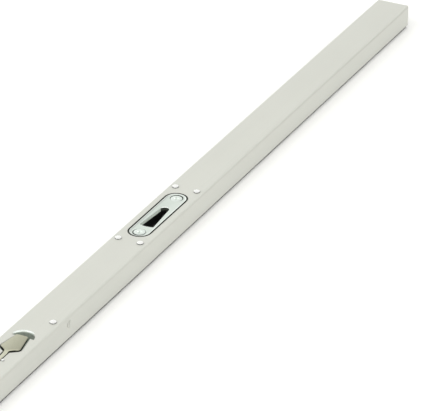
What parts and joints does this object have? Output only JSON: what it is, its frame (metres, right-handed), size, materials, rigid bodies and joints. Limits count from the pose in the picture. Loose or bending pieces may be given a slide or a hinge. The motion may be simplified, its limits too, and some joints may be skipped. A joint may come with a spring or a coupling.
{
  "type": "multipoint door lock",
  "caption": "Slim boxed multipoint lock bar for a door edge: a flush flip lever draws the end bolts through racks and a pinion; screwed keep plates have tapered slots.",
  "frame": {"origin": "under the lever's pivot, at mid length and mid width, on the back of the bar", "axes": "+X along the bar to its top end, +Y across the face, +Z out of the face; the bar lies on its back"},
  "size_m": [1.464, 0.03, 0.0228],
  "materials": {
    "channel_paint": "satin powder coat, warm light grey",
    "mill_aluminium": "extruded, plain",
    "zinc_screw": "bright zinc plate",
    "zinc_casting": "die-cast zinc, dull",
    "bright_rivet": "bright low flat heads",
    "nickel_lever": "nickel plate, tumbled, warm",
    "gear_steel": "ground and oiled",
    "bronze_washer": "turned bronze",
    "spring_steel": "blued spring strip",
    "rod_steel": "galvanised strip",
    "keep_zinc": "zinc plate, bright rim",
    "black_moulding": "moulded"
  },
  "bodies": {
    "frame": {"back_cover": "mill_aluminium", "back_cover_screws": "zinc_screw", "drag_spring": "spring_steel", "face_channel": "channel_paint", "guide_rivets": "bright_rivet", "housing_rivets": "bright_rivet", "housing_side_screws": "zinc_screw", "idler_stud": "gear_steel", "lever_housing": "zinc_casting", "lower_carrier_rivets": "bright_rivet", "lower_dust_box": "black_moulding", "lower_end_block": "zinc_casting", "lower_keep_carrier": "zinc_casting", "lower_keep_plate": "keep_zinc", "lower_keep_screws": "zinc_screw", "lower_rod_guides": "black_moulding", "neck_stakes": "bright_rivet", "pivot_pin": "gear_steel", "pivot_washers": "bronze_washer", "upper_carrier_rivets": "bright_rivet", "upper_dust_box": "black_moulding", "upper_end_block": "zinc_casting", "upper_keep_carrier": "zinc_casting", "upper_keep_plate": "keep_zinc", "upper_keep_screws": "zinc_screw", "upper_rod_guides": "black_moulding"},
    "lever": {"flip_lever": "nickel_lever", "lever_gear_plates": "gear_steel", "lever_gear_rivets": "gear_steel"},
    "lower_drive": {"rack_bar": "rod_steel", "lower_drive_rod": "rod_steel", "lower_lap_rivets": "gear_steel", "lower_end_bolt": "gear_steel", "lower_bolt_pins": "gear_steel"},
    "upper_drive": {"counter_rack": "rod_steel", "upper_drive_rod": "rod_steel", "upper_lap_rivets": "gear_steel", "upper_end_bolt": "gear_steel", "upper_bolt_pins": "gear_steel"},
    "idler": {"idler_pinion": "gear_steel"}
  },
  "joints": [
    {"name": "lever_flip", "type": "hinge", "parent": "frame", "child": "lever", "pos_m": [0, 0, 0.0139], "axis": [0, -1, 0], "range_deg": [0, 105]},
    {"name": "lower_drive_slide", "type": "slide", "parent": "frame", "child": "lower_drive", "axis": [1, 0, 0], "range_m": [0, 0.0132]},
    {"name": "idler_turn", "type": "hinge", "parent": "frame", "child": "idler", "pos_m": [0.04, 0, 0.0055], "axis": [0, 0, -1], "range_deg": [0, 105]},
    {"name": "upper_drive_slide", "type": "slide", "parent": "frame", "child": "upper_drive", "axis": [-1, 0, 0], "range_m": [0, 0.0132]}
  ],
  "couplings": [
    {"joint": "lower_drive_slide", "follows": "lever_flip", "m_per_rad": 0.0072},
    {"joint": "idler_turn", "follows": "lever_flip", "ratio": 1},
    {"joint": "upper_drive_slide", "follows": "lever_flip", "m_per_rad": 0.0072}
  ]
}
